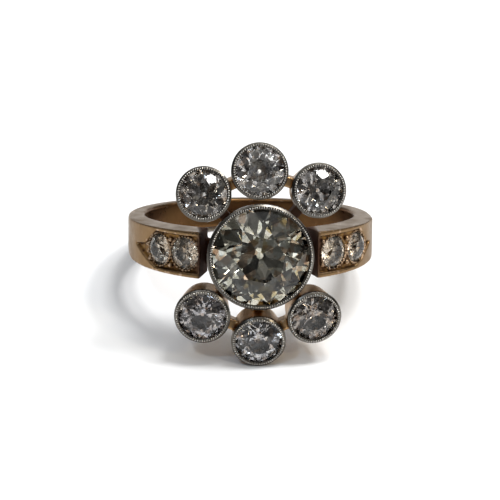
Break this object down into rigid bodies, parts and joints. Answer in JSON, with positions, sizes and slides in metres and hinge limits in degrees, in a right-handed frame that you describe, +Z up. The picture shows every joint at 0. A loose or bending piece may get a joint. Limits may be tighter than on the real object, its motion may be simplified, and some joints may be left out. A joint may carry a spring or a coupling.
{
  "type": "flower ring",
  "caption": "Finger ring with a flower head: a large bezel-set stone with bezel-set petal stones round it, on a flat rose-gold band with stone-set shoulders. It lies on its side.",
  "frame": {"origin": "centre of the lying ring's outline, on the surface that it rests on", "axes": "+Z up from the surface, +Y from the flower to the back of the band, +X to the right as the flower is faced"},
  "size_m": [0.0204, 0.0236, 0.0171],
  "materials": {
    "rose_gold": "polished rose gold, softly worn",
    "platinum": "polished platinum with millegrain rim",
    "middle_diamond": "old-cut diamond, faint warm tint",
    "diamond": "old-cut diamond"
  },
  "bodies": {
    "root": {"gold_mounting": "rose_gold", "middle_bezel": "platinum", "middle_stone": "middle_diamond", "petal_bezel_top": "platinum", "petal_bezel_upper_right": "platinum", "petal_bezel_lower_right": "platinum", "petal_bezel_bottom": "platinum", "petal_bezel_lower_left": "platinum", "petal_bezel_upper_left": "platinum", "petal_stone_top": "diamond", "petal_stone_upper_right": "diamond", "petal_stone_lower_right": "diamond", "petal_stone_bottom": "diamond", "petal_stone_lower_left": "diamond", "petal_stone_upper_left": "diamond", "shoulder_stone_left_inner": "diamond", "shoulder_stone_left_outer": "diamond", "shoulder_stone_right_inner": "diamond", "shoulder_stone_right_outer": "diamond"}
  },
  "joints": []
}
